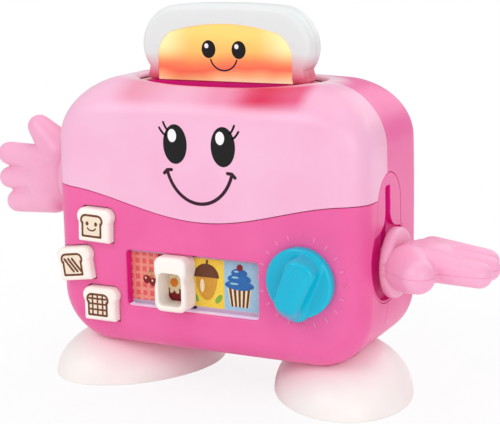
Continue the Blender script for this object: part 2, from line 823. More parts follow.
def screw_bar(axis, centre, head_at, point_at, head, sides=SMALL_SIDES):
    """A pan-head screw: head_at is under its head, point_at the far end of the shank."""
    along = 1 if point_at > head_at else -1
    cap = head_at - along * SCREW_HEAD_THICK
    low, high = sorted((cap, head_at + along * GAP))
    start, stop = sorted((head_at, point_at))
    return merged_union(rod(axis, centre, head, low, high, sides),
                        rod(axis, centre, SCREW_SHANK, start, stop, sides))


def merged_union(*shapes):
    """Overlapping solids of one mesh, joined into one body."""
    objects = []
    for shape in shapes:
        mesh = bpy.data.meshes.new("solid")
        shape.to_mesh(mesh)
        shape.free()
        item = bpy.data.objects.new("solid", mesh)
        TOOLS.objects.link(item)
        objects.append(item)
    base = objects[0]
    for item in objects[1:]:
        combine(base, item, "UNION")
    depsgraph = bpy.context.evaluated_depsgraph_get()
    result = bpy.data.meshes.new_from_object(base.evaluated_get(depsgraph))
    whole = bmesh.new()
    whole.from_mesh(result)
    for item in objects:
        mesh = item.data
        bpy.data.objects.remove(item, do_unlink=True)
        bpy.data.meshes.remove(mesh)
    bpy.data.meshes.remove(result)
    return whole


inner_block = add_tool("inside_of_skin", body_block(-WALL / 2))
skin_block = add_tool("whole_body", body_block(0))
room_block = add_tool("room_in_shells", body_block(-WALL - 2 * GAP))
sunk_block = add_tool("sunk_body", body_block(-LINER_SINK))

front_upper = add_shell("front_upper_shell", front_skin(), PALE_PINK)
front_lower = add_shell("front_lower_shell", front_skin(), DEEP_PINK)
rear = add_shell("rear_shell", back_skin(), DEEP_PINK)

wave_low = add_tool("below_wave", prism(wave_outline(0), "Y", -OVERRUN, BODY_DEPTH))
wave_high = add_tool("below_wave_and_gap", prism(wave_outline(GAP), "Y", -OVERRUN, BODY_DEPTH))
trim(front_lower, wave_low)
cut(front_upper, wave_high)

for shell in (front_upper, front_lower):
    for index, place in enumerate(peg_places(shell.name)):
        peg = add_tool(f"{shell.name}_peg_{index}",
                       rod("Y", place, PEG_RADIUS, 0, PARTING_DEPTH - GAP / 2, SMALL_SIDES))
        trim(peg, inner_block)
        hole = add_tool(f"{shell.name}_peg_hole_{index}",
                        rod("Y", place, SCREW_SHANK + GAP, PARTING_DEPTH - SCREW_BITE - GAP,
                            PARTING_DEPTH + OVERRUN, SMALL_SIDES))
        join(shell, peg)
        cut(shell, hole)
        well = add_tool(f"{shell.name}_well_{index}",
                        rod("Y", place, WELL_RADIUS, PARTING_DEPTH + GAP / 2, BODY_DEPTH, SMALL_SIDES))
        trim(well, inner_block)
        bore = add_tool(f"{shell.name}_well_bore_{index}",
                        rod("Y", place, WELL_BORE, WELL_SEAT, BODY_DEPTH + OVERRUN, SMALL_SIDES))
        pilot = add_tool(f"{shell.name}_well_pilot_{index}",
                         rod("Y", place, SCREW_SHANK + GAP, PARTING_DEPTH - OVERRUN,
                             WELL_SEAT + OVERRUN, SMALL_SIDES))
        join(rear, well)
        cut(rear, bore, pilot)

window_frame = add_tool("window_frame", prism(window_outline(WINDOW_FRAME_WALL, WINDOW_CORNER), "Y",
                                              WALL / 2, WINDOW_DEPTH))
window_hole = add_tool("window_hole", prism(window_outline(0, WINDOW_CORNER), "Y",
                                            -OVERRUN, WINDOW_DEPTH + OVERRUN))
join(front_lower, window_frame)
for kind, places in BOARD_POSTS.items():
    board_y = BUTTON_BOARD_FRONT if kind == "button" else MAIN_BOARD_FRONT
    for index, place in enumerate(places):
        post = add_tool(f"{kind}_post_{index}",
                        rod("Y", place, POST_RADIUS, WALL / 2, board_y - GAP, SMALL_SIDES))
        hole = add_tool(f"{kind}_post_hole_{index}",
                        rod("Y", place, SCREW_SHANK + GAP, WALL, board_y + OVERRUN, SMALL_SIDES))
        join(front_lower, post)
        if index == 0:
            cut(front_lower, hole)
dial_hole = add_tool("dial_hole", rod("Y", (DIAL_X, DIAL_Z), DIAL_SHAFT_RADIUS + SLIDE_GAP,
                                      -OVERRUN, WALL + OVERRUN))
cut(front_lower, window_hole, dial_hole)
for name in BUTTONS:
    hole = add_tool(f"{name}_hole", prism(button_outline(name, BUTTON_CLEAR), "Y", -OVERRUN, WALL + OVERRUN))
    cut(front_lower, hole)

slot_hole = add_tool("slot_hole", prism(slot_outline(0), "Z", LINER_LOW, BODY_HIGH + OVERRUN * 2))
plate_hole = add_tool("plate_hole", prism(plate_outline(0), "X", BODY_HALF_WIDTH - PLATE_IN,
                                          BODY_HALF_WIDTH + OVERRUN))
axle_hole = add_tool("axle_hole", rod("X", (PARTING_DEPTH, LEFT_Z), AXLE_RADIUS + SLIDE_GAP,
                                      -BODY_HALF_WIDTH - OVERRUN, -BODY_HALF_WIDTH + WALL + OVERRUN))
cut(front_upper, slot_hole, plate_hole, axle_hole)
cut(front_lower, plate_hole, axle_hole)

for side, word in ((-1, "left"), (1, "right")):
    label = f"frame_boss_{word}"
    place = (side * FRAME_BOSS_X, FRAME_BOSS_ZS[word])
    join(rear, add_tool(label, rod("Y", place, FRAME_BOSS_RADIUS, FRAME_FRONT + FRAME_THICK + GAP,
                                   BODY_DEPTH - WALL / 2, SMALL_SIDES)))
    cut(rear, add_tool(f"{label}_hole", rod("Y", place, SCREW_SHANK + GAP, FRAME_FRONT,
                                            FRAME_FRONT + FRAME_THICK + SCREW_BITE + GAP, SMALL_SIDES)))
    label = f"foot_boss_{word}"
    place = (side * FOOT_X, FOOT_Y)
    join(rear, add_tool(label, rod("Z", place, FOOT_BOSS_RADIUS, BODY_LOW + WALL / 2,
                                   BODY_LOW + FOOT_BOSS_TALL, SMALL_SIDES)))
    cut(rear, add_tool(f"{label}_hole", rod("Z", place, SCREW_SHANK + GAP, BODY_LOW - OVERRUN,
                                            BODY_LOW + FOOT_BOSS_TALL - WALL, SMALL_SIDES)))

door_hole = add_tool("door_hole", box((-TRAY_HALF, INNER_BACK - OVERRUN, TRAY_LOW),
                                      (TRAY_HALF, BODY_DEPTH + OVERRUN, TRAY_HIGH)))
switch_hole = add_tool("switch_hole", box(
    (SWITCH_X - SWITCH_KNOB_WIDE / 2 - SLIDE_GAP, INNER_BACK - OVERRUN / 2,
     SWITCH_Z - SWITCH_KNOB_TALL / 2 - SLIDE_GAP),
    (SWITCH_X + SWITCH_KNOB_WIDE / 2 + SWITCH_TRAVEL + SLIDE_GAP, BODY_DEPTH + OVERRUN,
     SWITCH_Z + SWITCH_KNOB_TALL / 2 + SLIDE_GAP)))
cut(rear, slot_hole, plate_hole, axle_hole, door_hole, switch_hole)
grille = []
for index in range(GRILLE_SLOTS):
    height = GRILLE_RADIUS * (2 * (index + 0.5) / GRILLE_SLOTS - 1)
    half = math.sqrt(GRILLE_RADIUS ** 2 - height ** 2)
    grille.append(box((-half, INNER_BACK - OVERRUN / 2, SPEAKER_Z + height - GRILLE_SLOT_WIDE / 2),
                      (half, BODY_DEPTH + OVERRUN, SPEAKER_Z + height + GRILLE_SLOT_WIDE / 2)))
cut(rear, add_tool("grille_slots", merged(*grille)))

# Lining of the opening in the top
liner = add_part("slot_liner", prism(slot_outline(GAP), "Z", LINER_LOW + GAP, BODY_HIGH + OVERRUN), MAGENTA)
trim(liner, sunk_block)
cut(liner, add_tool("liner_inside", prism(slot_outline(GAP + LINER_WALL), "Z", LINER_LOW - OVERRUN,
                                          BODY_HIGH + 2 * OVERRUN)))

# Side plate that guides the lever
plate = add_part("lever_plate", prism(plate_outline(GAP), "X", BODY_HALF_WIDTH - PLATE_IN + GAP,
                                      BODY_HALF_WIDTH + OVERRUN), DEEP_PINK)
trim(plate, skin_block)
slot_top = LEVER_Z + TRAVEL + STEM_TALL / 2 + SLIDE_GAP
pocket = add_tool("lever_pocket", prism(
    keyhole_outline(POCKET_RADIUS, SLOT_WIDE / 2, slot_top - SLIDE_GAP), "X",
    BODY_HALF_WIDTH - POCKET_DEPTH, BODY_HALF_WIDTH + 2 * OVERRUN))
stem_slot = add_tool("stem_slot", box(
    (BODY_HALF_WIDTH - PLATE_IN - OVERRUN, PARTING_DEPTH - SLOT_WIDE / 2,
     LEVER_Z - STEM_TALL / 2 - SLIDE_GAP),
    (BODY_HALF_WIDTH + 2 * OVERRUN, PARTING_DEPTH + SLOT_WIDE / 2, slot_top)))
cut(plate, pocket, stem_slot)


# Hands

def capsule(start, start_radius, end, end_radius):
    """A tapered finger with round ends."""
    shape = bmesh.new()
    bmesh.ops.create_uvsphere(shape, u_segments=HAND_SIDES, v_segments=HAND_RINGS, radius=1)
    start, end = Vector(start), Vector(end)
    turn = (end - start).to_track_quat("Z", "Y").to_matrix()
    for vert in shape.verts:
        ahead = vert.co.z > -MERGE
        radius = end_radius if ahead else start_radius
        base = end if ahead else start
        vert.co = base + turn @ (vert.co * radius)
    return shape


def ellipsoid(centre, radii):
    shape = bmesh.new()
    place = Matrix.Translation(centre) @ Matrix.Diagonal((radii[0], radii[1], radii[2], 1))
    bmesh.ops.create_uvsphere(shape, u_segments=PALM_SIDES, v_segments=HAND_RINGS, radius=1, matrix=place)
    return shape


def hand_shape():
    """Collar, wrist, palm, three fingers and a thumb: X out, Y towards the thumb, Z through the palm."""
    collar = rounded(rod("X", (0, 0), COLLAR_RADIUS, 0, COLLAR_THICK, COLLAR_SIDES), COLLAR_EDGE, 2)
    pieces = [collar]
    pieces.append(ellipsoid((WRIST_OUT, 0, 0), WRIST_RADII))
    pieces.append(ellipsoid((PALM_OUT, PALM_ACROSS, PALM_LIFT), PALM_RADII))
    lifted = [(PALM_LIFT, finger) for finger in FINGERS] + [(0, THUMB)]
    for lift, (start, start_radius, end, end_radius) in lifted:
        finger = capsule((*start, lift), start_radius, (*end, 0), end_radius)
        bmesh.ops.scale(finger, vec=(1, 1, FINGER_FLAT_SHARE), verts=finger.verts)
        pieces.append(finger)
    return merged_union(*pieces)


def placed_hand(place):
    shape = hand_shape()
    bmesh.ops.transform(shape, matrix=place, verts=shape.verts)
    bmesh.ops.recalc_face_normals(shape, faces=shape.faces)
    return shape


def frame_matrix(out, thumb, palm, corner):
    turn = Matrix((out, thumb, palm)).transposed().to_4x4()
    return Matrix.Translation(corner) @ turn


right_corner = (COLLAR_X, PARTING_DEPTH, LEVER_Z)
left_corner = (-COLLAR_X, PARTING_DEPTH, LEFT_Z)
right_place = frame_matrix((1, 0, 0), (0, -1, 0), (0, 0, 1), right_corner)
left_place = frame_matrix((-1, 0, 0), (0, 0, 1), (0, -1, 0), left_corner)
right_hand = add_part("lever_hand", placed_hand(right_place), ARM_PINK, right_corner)
left_hand = add_part("left_hand", placed_hand(left_place), ARM_PINK, left_corner)
cut(right_hand, add_tool("stem_socket", box(
    (COLLAR_X - OVERRUN, PARTING_DEPTH - STEM_WIDE / 2 - GAP, LEVER_Z - STEM_TALL / 2 - GAP),
    (COLLAR_X + STEM_SINK + GAP, PARTING_DEPTH + STEM_WIDE / 2 + GAP, LEVER_Z + STEM_TALL / 2 + GAP))))
hub_end = COLLAR_X + AXLE_HUB_LONG
cut(left_hand,
    add_tool("hub_socket", rod("X", (PARTING_DEPTH, LEFT_Z), AXLE_HUB + GAP, -hub_end - GAP,
                               -COLLAR_X + OVERRUN, SMALL_SIDES)),
    add_tool("hand_screw_hole", rod("X", (PARTING_DEPTH, LEFT_Z), SCREW_SHANK + GAP,
                                    -hub_end - AXLE_SCREW_DEEP - GAP, -COLLAR_X, SMALL_SIDES)))

axle_tail = -BODY_HALF_WIDTH + WALL + 2 * GAP + AXLE_FLANGE_THICK + AXLE_TAIL
axle_front = -COLLAR_X + GAP
left_axle = add_part("left_axle", merged_union(
    rod("X", (PARTING_DEPTH, LEFT_Z), AXLE_RADIUS, axle_front, axle_tail),
    rod("X", (PARTING_DEPTH, LEFT_Z), AXLE_HUB, -hub_end, axle_front + OVERRUN, SMALL_SIDES),
    rod("X", (PARTING_DEPTH, LEFT_Z), AXLE_FLANGE, axle_tail - AXLE_TAIL - AXLE_FLANGE_THICK,
        axle_tail - AXLE_TAIL)), WHITE, left_corner)
cut(left_axle, add_tool("axle_bore", rod("X", (PARTING_DEPTH, LEFT_Z), SCREW_SHANK + GAP,
                                         -hub_end - OVERRUN, axle_tail + OVERRUN, SMALL_SIDES)))
add_part("left_hand_screw", screw_bar("X", (PARTING_DEPTH, LEFT_Z), axle_tail + GAP,
                                      -hub_end - AXLE_SCREW_DEEP, SCREW_HEAD), STEEL, left_corner)


# Feet

def foot_dome(shrink, tall):
    """Half an egg on the floor, its long way running front to back."""
    shape = bmesh.new()
    place = Matrix.Diagonal((FOOT_WIDE - shrink, FOOT_LONG - shrink, tall, 1))
    bmesh.ops.create_uvsphere(shape, u_segments=FOOT_SIDES, v_segments=FOOT_RINGS, radius=1, matrix=place)
    below = [vert for vert in shape.verts if vert.co.z < -MERGE]
    bmesh.ops.delete(shape, geom=below, context="VERTS")
    rim = [edge for edge in shape.edges if edge.is_boundary]
    bmesh.ops.contextual_create(shape, geom=rim)
    bmesh.ops.recalc_face_normals(shape, faces=shape.faces)
    return shape


def foot_place(side):
    return Matrix.Translation((side * FOOT_X, FOOT_Y, 0)) @ Matrix.Rotation(side * FOOT_TOE_OUT, 4, "Z")


grown_block = add_tool("body_and_gap", body_block(GAP))
for side, word in ((-1, "left"), (1, "right")):
    dome = foot_dome(0, FOOT_TALL)
    bmesh.ops.transform(dome, matrix=foot_place(side), verts=dome.verts)
    foot = add_part(f"{word}_foot", dome, CREAM)
    hollow = foot_dome(FOOT_WALL, FOOT_TALL)
    bmesh.ops.transform(hollow, matrix=foot_place(side), verts=hollow.verts)
    for vert in hollow.verts:
        if abs(vert.co.z) < MERGE:
            vert.co.z = -GAP
    ceiling = add_tool(f"{word}_foot_hollow", hollow)
    trim(ceiling, add_tool(f"{word}_foot_ceiling", box(
        (side * FOOT_X - FOOT_LONG, FOOT_Y - 2 * FOOT_LONG, -OVERRUN),
        (side * FOOT_X + FOOT_LONG, FOOT_Y + 2 * FOOT_LONG, FOOT_CEILING))))
    cut(foot, grown_block, ceiling,
        add_tool(f"{word}_foot_screw_hole", rod("Z", (side * FOOT_X, FOOT_Y), SCREW_SHANK + GAP, 0,
                                                BODY_LOW + OVERRUN, SMALL_SIDES)))
    sole = foot_dome(FOOT_WALL + 2 * GAP, FOOT_TALL)
    bmesh.ops.transform(sole, matrix=foot_place(side), verts=sole.verts)
    sole_part = add_part(f"{word}_sole", sole, WHITE)
    trim(sole_part, add_tool(f"{word}_sole_slice", box(
        (side * FOOT_X - FOOT_LONG, FOOT_Y - 2 * FOOT_LONG, -OVERRUN),
        (side * FOOT_X + FOOT_LONG, FOOT_Y + 2 * FOOT_LONG, SOLE_THICK))))
    add_part(f"{word}_foot_screw", screw_bar("Z", (side * FOOT_X, FOOT_Y), FOOT_CEILING - GAP,
                                             FOOT_CEILING + FOOT_SCREW_LONG, SCREW_HEAD), STEEL)

# Slice of toast
middle_y = TOAST_FRONT + TOAST_THICK / 2


def slice_block(front, back):
    outline = slice_outline(TOAST_HALF_WIDTH, TOAST_FOOT_HALF_WIDTH, TOAST_LOW, TOAST_HIGH, TOAST_LOBE,
                            TOAST_NECK_RISE)
    return prism(outline, "Y", front, back)


def insert_outline(margin):
    """The printed centre: square below, with round upper corners."""
    half = INSERT_HALF_WIDTH + margin
    high = INSERT_HIGH + margin
    right = [(half, TOAST_LOW + GAP - margin)]
    right += arc((half - INSERT_CORNER, high - INSERT_CORNER), INSERT_CORNER, 0, 90, 5)
    return right + [(-x, z) for x, z in reversed(right)]


toast_front = add_part("toast_front", rounded(slice_block(TOAST_FRONT, middle_y - GAP / 2), TOAST_EDGE, 2,
                                              at_level("Y", TOAST_FRONT)), FROST)
toast_back = add_part("toast_back", rounded(slice_block(middle_y + GAP / 2, TOAST_FRONT + TOAST_THICK),
                                            TOAST_EDGE, 2, at_level("Y", TOAST_FRONT + TOAST_THICK)), FROST)
cut(toast_front,
    add_tool("insert_recess", prism(insert_outline(GAP), "Y", TOAST_FRONT - OVERRUN,
                                    TOAST_FRONT + INSERT_THICK + GAP)),
    add_tool("lamp_room", box((-TOAST_POCKET_HALF_WIDTH, middle_y - TOAST_POCKET_DEPTH,
                               TOAST_LOW + TOAST_POCKET_RISE),
                              (TOAST_POCKET_HALF_WIDTH, middle_y + OVERRUN, TOAST_POCKET_HIGH))))
add_part("toast_insert", prism(insert_outline(0), "Y", TOAST_FRONT, TOAST_FRONT + INSERT_THICK), PRINT)
lamp_low = TOAST_LOW + TOAST_POCKET_RISE + GAP
lamp_back = middle_y - GAP / 2
lamp_z = (lamp_low + LAMP_BOARD_HIGH) / 2
add_part("toast_lamp", merged_union(
    box((-LAMP_BOARD_HALF_WIDTH, lamp_back - LAMP_BOARD_THICK, lamp_low),
        (LAMP_BOARD_HALF_WIDTH, lamp_back, LAMP_BOARD_HIGH)),
    rod("Y", (0, lamp_z), LAMP_RADIUS, lamp_back - LAMP_BOARD_THICK - LAMP_REACH,
        lamp_back - LAMP_BOARD_THICK / 2, SMALL_SIDES)), WHITE)

# Carriage, its rack and what they run on
bar_half = ROD_X + BAR_END
carriage = add_part("toast_carriage", merged_union(
    box((-HOLDER_HALF_WIDTH, TOAST_FRONT + GAP, TOAST_LOW - GAP - HOLDER_TALL),
        (HOLDER_HALF_WIDTH, TOAST_FRONT + TOAST_THICK - GAP, TOAST_LOW - GAP)),
    box((-WEB_HALF_WIDTH, middle_y, BAR_LOW + WEB_THICK),
        (WEB_HALF_WIDTH, middle_y + WEB_THICK, TOAST_LOW - HOLDER_TALL / 2)),
    box((-bar_half, BAR_FRONT, BAR_LOW), (bar_half, BAR_FRONT + BAR_THICK, BAR_LOW + BAR_TALL))), MAGENTA)
for side, word in ((-1, "left"), (1, "right")):
    cut(carriage, add_tool(f"carriage_bore_{word}", rod("Z", (side * ROD_X, ROD_Y), ROD_RADIUS + GAP,
                                                        BAR_LOW - OVERRUN, BAR_LOW + BAR_TALL + OVERRUN,
                                                        SMALL_SIDES)))


def rack_outline(pitch_x, toward, first, count, back_x):
    """A rack's side view; its teeth point along X as toward says, and first is the lowest tooth."""
    slope = math.tan(PRESSURE_ANGLE)
    tall = GEAR_MODULE * ADDENDUM_SHARE
    deep = GEAR_MODULE * DEDENDUM_SHARE
    half = GEAR_PITCH / 4 - BACKLASH / 2
    points = []
    for index in range(count):
        z = PINION_Z + (first + index + 0.5) * GEAR_PITCH
        points.append((pitch_x - toward * deep, z - half - deep * slope))
        points.append((pitch_x + toward * tall, z - half + tall * slope))
        points.append((pitch_x + toward * tall, z + half - tall * slope))
        points.append((pitch_x - toward * deep, z + half + deep * slope))
    low = points[0][1] - GEAR_MODULE / 2
    high = points[-1][1] + GEAR_MODULE / 2
    root = pitch_x - toward * deep
    return [(back_x, low), (root, low)] + points + [(root, high), (back_x, high)]


tooth_count = math.ceil(TRAVEL / GEAR_PITCH) + 3
toast_rack_x = PINION_X - GEAR_RADIUS
lever_rack_x = PINION_X + GEAR_RADIUS
add_part("toast_rack", prism(rack_outline(toast_rack_x, 1, -2, tooth_count, bar_half + GAP), "Y",
                             GEAR_FRONT, GEAR_FRONT + GEAR_WIDE), WHITE)
slider_back = BODY_HALF_WIDTH - PLATE_IN - GAP
rack_shape = prism(rack_outline(lever_rack_x, -1, 2 - tooth_count, tooth_count, slider_back), "Y",
                   GEAR_FRONT, GEAR_FRONT + GEAR_WIDE)
stem = box((slider_back - GEAR_MODULE, PARTING_DEPTH - STEM_WIDE / 2, LEVER_Z - STEM_TALL / 2),
           (COLLAR_X + STEM_SINK, PARTING_DEPTH + STEM_WIDE / 2, LEVER_Z + STEM_TALL / 2))
add_part("lever_slider", merged_union(rack_shape, stem), WHITE)


def pinion_outline():
    """Involute teeth about the pinion's centre, one tooth pointing along +X."""
    base = GEAR_RADIUS * math.cos(PRESSURE_ANGLE)
    outer = GEAR_RADIUS + GEAR_MODULE * ADDENDUM_SHARE
    root = GEAR_RADIUS - GEAR_MODULE * DEDENDUM_SHARE

    def roll(radius):
        lean = math.acos(base / radius)
        return math.tan(lean) - lean

    half_at_pitch = (GEAR_PITCH / 2 - BACKLASH) / (2 * GEAR_RADIUS)
    start = max(base, root)
    flank = []
    for step in range(4):
        radius = start + (outer - start) * step / 3
        flank.append((radius, half_at_pitch + roll(GEAR_RADIUS) - roll(radius)))
    points = []
    for tooth in range(PINION_TEETH):
        middle = 2 * math.pi * tooth / PINION_TEETH
        sides = [(root, -flank[0][1])] + [(radius, -turn) for radius, turn in flank]
        sides += [(radius, turn) for radius, turn in reversed(flank)] + [(root, flank[0][1])]
        for radius, turn in sides:
            points.append((PINION_X + radius * math.cos(middle + turn),
                           PINION_Z + radius * math.sin(middle + turn)))
    return points


pinion_place = (PINION_X, GEAR_MIDDLE, PINION_Z)
gear_back = GEAR_FRONT + GEAR_WIDE
pinion = add_part("pinion", prism(pinion_outline(), "Y", GEAR_FRONT, gear_back), WHITE, pinion_place)
cut(pinion, add_tool("pinion_bore", rod("Y", (PINION_X, PINION_Z), PIN_RADIUS + GAP, GEAR_FRONT - OVERRUN,
                                        gear_back + OVERRUN)))
pin_front = GEAR_FRONT - PIN_HEAD_GAP
frame_back = FRAME_FRONT + FRAME_THICK
add_part("pinion_pin", rod("Y", (PINION_X, PINION_Z), PIN_RADIUS, pin_front, frame_back), STEEL)
clip = add_part("pinion_clip", rod("Y", (PINION_X, PINION_Z), CLIP_RADIUS, GEAR_FRONT - GAP - CLIP_THICK,
                                   GEAR_FRONT - GAP), STEEL)
cut(clip, add_tool("clip_bore", rod("Y", (PINION_X, PINION_Z), PIN_RADIUS + GAP, pin_front,
                                    GEAR_FRONT + OVERRUN)))

frame_pieces = [
    box((-FRAME_HALF_WIDTH, FRAME_FRONT, FRAME_LOW), (FRAME_HALF_WIDTH, frame_back, FRAME_HIGH)),
    box((FRAME_HALF_WIDTH - FRAME_RIM, FRAME_FRONT, PINION_Z - FRAME_EAR_HALF),
        (PINION_X + FRAME_EAR_REACH, frame_back, PINION_Z + FRAME_EAR_HALF)),
    rod("Y", (PINION_X, PINION_Z), FRAME_EAR_REACH / 2 + GAP, gear_back + GAP, frame_back - GAP),
]
for side in (-1, 1):
    for low in (ROD_LOW - GAP - LUG_THICK / 3, ROD_HIGH + GAP - LUG_THICK * 2 / 3):
        inner, outer = sorted((side * (ROD_X - LUG_IN), side * (ROD_X + LUG_OUT)))
        frame_pieces.append(box((inner, ROD_Y - LUG_REACH, low),
                                (outer, FRAME_FRONT + GAP, low + LUG_THICK)))
frame = add_part("mechanism_frame", merged_union(*frame_pieces), WHITE)
cut(frame,
    add_tool("frame_window", box((-FRAME_WINDOW_HALF, FRAME_FRONT - OVERRUN, FRAME_LOW + FRAME_RIM),
                                 (FRAME_WINDOW_HALF, frame_back + OVERRUN, FRAME_HIGH - FRAME_RIM))),
    add_tool("frame_pin_bore", rod("Y", (PINION_X, PINION_Z), PIN_RADIUS + GAP, GEAR_FRONT,
                                   frame_back + OVERRUN)))
for side, word in ((-1, "left"), (1, "right")):
    cut(frame, add_tool(f"rod_bore_{word}", rod("Z", (side * ROD_X, ROD_Y), ROD_RADIUS + GAP,
                                                ROD_LOW - GAP, ROD_HIGH + GAP, SMALL_SIDES)))
    add_part(f"{word}_guide_rod",
             rod("Z", (side * ROD_X, ROD_Y), ROD_RADIUS, ROD_LOW, ROD_HIGH, SMALL_SIDES), STEEL)
    place = (side * FRAME_BOSS_X, FRAME_BOSS_ZS[word])
    cut(frame, add_tool(f"frame_screw_hole_{word}",
                        rod("Y", place, SCREW_SHANK + GAP, FRAME_FRONT - OVERRUN, frame_back + OVERRUN,
                            SMALL_SIDES)))
    add_part(f"{word}_frame_screw",
             screw_bar("Y", place, FRAME_FRONT - GAP, frame_back + SCREW_BITE, SCREW_HEAD), STEEL)


def spring_points():
    """One unbroken helix round the left guide rod, under the carriage."""
    low = ROD_LOW - GAP - LUG_THICK / 3 + LUG_THICK + GAP + SPRING_WIRE
    high = BAR_LOW - GAP - SPRING_WIRE
    count = SPRING_TURNS * SPRING_TURN_POINTS
    points = []
    for step in range(count + 1):
        angle = 2 * math.pi * step / SPRING_TURN_POINTS
        points.append((-ROD_X + SPRING_RADIUS * math.cos(angle), ROD_Y + SPRING_RADIUS * math.sin(angle),
                       low + (high - low) * step / count))
    return points


def wire(name, points, radius, surface):
    """A round wire along points, with closed ends."""
    curve = bpy.data.curves.new(name, "CURVE")
    curve.dimensions = "3D"
    curve.bevel_depth = radius
    curve.bevel_resolution = 0
    curve.resolution_u = 1
    curve.use_fill_caps = True
    line = curve.splines.new("POLY")
    line.points.add(len(points) - 1)
    for place, point in zip(line.points, points):
        place.co = (*point, 1)
    curve.materials.append(surface)
    item = bpy.data.objects.new(name, curve)
    item.parent = ROOT
    TOY.objects.link(item)
    return item


wire("toast_spring", spring_points(), SPRING_WIRE, STEEL)

# Picture window
card_front = WINDOW_DEPTH + GAP
add_part("window_card", box((WINDOW_LEFT - CARD_LAP, card_front, WINDOW_LOW + TRACK),
                            (WINDOW_RIGHT + CARD_LAP, card_front + CARD_THICK, WINDOW_HIGH - TRACK)), PRINT)


def slider_outline():
    """A little slice with a waist, as tall as the window allows."""
    half = SLIDER_WIDE / 2
    low = WINDOW_LOW + SLIDE_GAP
    high = WINDOW_HIGH - SLIDE_GAP
    tall = high - low
    right = arc((half - SLIDER_CORNER, low + SLIDER_CORNER), SLIDER_CORNER, -90, 0, 4)
    right.append((half, low + tall * SLIDER_SIDE_SHARE))
    right.append((half - SLIDER_WAIST, low + tall * SLIDER_WAIST_SHARE))
    right += arc((half - SLIDER_CORNER, high - SLIDER_CORNER), SLIDER_CORNER, 0, 90, 4)
    return [(SLIDER_X + x, z) for x, z in right + [(-x, z) for x, z in reversed(right)]]


slider_origin = (SLIDER_X, 0, (WINDOW_LOW + WINDOW_HIGH) / 2)
slider_body = rounded(prism(slider_outline(), "Y", -SLIDER_PROUD, WINDOW_DEPTH - GAP), SLIDER_EDGE, 2,
                      at_level("Y", -SLIDER_PROUD))
contact_front = card_front + CARD_THICK + GAP
tongues = []
for low in (WINDOW_LOW + (TRACK - TONGUE_THICK) / 2, WINDOW_HIGH - TRACK + (TRACK - TONGUE_THICK) / 2):
    tongues.append(box((SLIDER_X - TONGUE_WIDE / 2, WINDOW_DEPTH - GAP - OVERRUN, low),
                       (SLIDER_X + TONGUE_WIDE / 2, contact_front, low + TONGUE_THICK)))
slider_ring = add_part("slider_ring", merged_union(slider_body, *tongues), CREAM, slider_origin)
hole_low = WINDOW_LOW + SLIDE_GAP + SLIDER_HOLE_LOW
cut(slider_ring, add_tool("slider_hole", prism(rounded_rectangle(
    SLIDER_X - SLIDER_HOLE_WIDE / 2, SLIDER_X + SLIDER_HOLE_WIDE / 2, hole_low, hole_low + SLIDER_HOLE_TALL,
    SLIDER_HOLE_CORNER), "Y", -SLIDER_PROUD - OVERRUN, contact_front + OVERRUN)))
add_part("slider_contact", box(
    (SLIDER_X - CONTACT_WIDE / 2, contact_front + GAP, WINDOW_LOW),
    (SLIDER_X + CONTACT_WIDE / 2, contact_front + GAP + CONTACT_THICK, WINDOW_HIGH)), BLACK, slider_origin)

# Dial
dial_place = (DIAL_X, 0, DIAL_Z)
grip_half = DIAL_GRIP_WIDE / 2
grip_face = rounded_rectangle(-grip_half, grip_half, -DIAL_GRIP_LOW, DIAL_GRIP_HIGH, DIAL_GRIP_CORNER)
grip_foot = rounded_rectangle(-grip_half - DIAL_GRIP_FLARE, grip_half + DIAL_GRIP_FLARE,
                              -DIAL_GRIP_FOOT_LOW, DIAL_GRIP_FOOT_HIGH, DIAL_GRIP_CORNER)
grip = loft([[Vector((x, -DIAL_REACH, z)) for x, z in grip_face],
             [Vector((x, -DIAL_SKIRT / 2, z)) for x, z in grip_foot]], True, True)
bmesh.ops.recalc_face_normals(grip, faces=grip.faces)
rounded(grip, DIAL_GRIP_EDGE, 2, at_level("Y", -DIAL_REACH))
bmesh.ops.transform(grip, matrix=Matrix.Translation(dial_place) @ Matrix.Rotation(-DIAL_TILT, 4, "Y"),
                    verts=grip.verts)
skirt = rounded(rod("Y", (DIAL_X, DIAL_Z), DIAL_RADIUS, -DIAL_SKIRT, -GAP, 32), DIAL_EDGE, 2,
                at_level("Y", -DIAL_SKIRT))
dial = add_part("dial_knob", merged_union(skirt, grip), BLUE, dial_place)
cut(dial, add_tool("dial_socket", rod("Y", (DIAL_X, DIAL_Z), DIAL_SHAFT_RADIUS + GAP,
                                      -DIAL_SHAFT_SINK - GAP, OVERRUN)))
add_part("dial_shaft", rod("Y", (DIAL_X, DIAL_Z), DIAL_SHAFT_RADIUS, -DIAL_SHAFT_SINK, ENCODER_FRONT - GAP),
         STEEL, dial_place)
add_part("dial_encoder", box((DIAL_X - ENCODER_HALF, ENCODER_FRONT, DIAL_Z - ENCODER_HALF),
                             (DIAL_X + ENCODER_HALF, MAIN_BOARD_FRONT - GAP, DIAL_Z + ENCODER_HALF)), BLACK)

# Buttons
for name, (centre_x, centre_z, _) in BUTTONS.items():
    cap = rounded(prism(button_outline(name, 0), "Y", -BUTTON_PROUD, WALL + GAP + BUTTON_FLANGE_THICK / 2),
                  BUTTON_EDGE, 2, at_level("Y", -BUTTON_PROUD))
    flange_back = WALL + GAP + BUTTON_FLANGE_THICK
    flange = add_tool(f"{name}_flange", prism(button_outline(name, 0, BUTTON_CLEAR + BUTTON_FLANGE), "Y",
                                              WALL + GAP, flange_back))
    trim(flange, room_block)
    switch_front = BUTTON_BOARD_FRONT - SWITCH_THICK
    stem = rod("Y", (centre_x, centre_z), BUTTON_STEM, flange_back - GAP,
               switch_front - BUTTON_TRAVEL - GAP, SMALL_SIDES)
    join(add_part(name, merged_union(cap, stem), CREAM, (centre_x, 0, centre_z)), flange)


# Boards

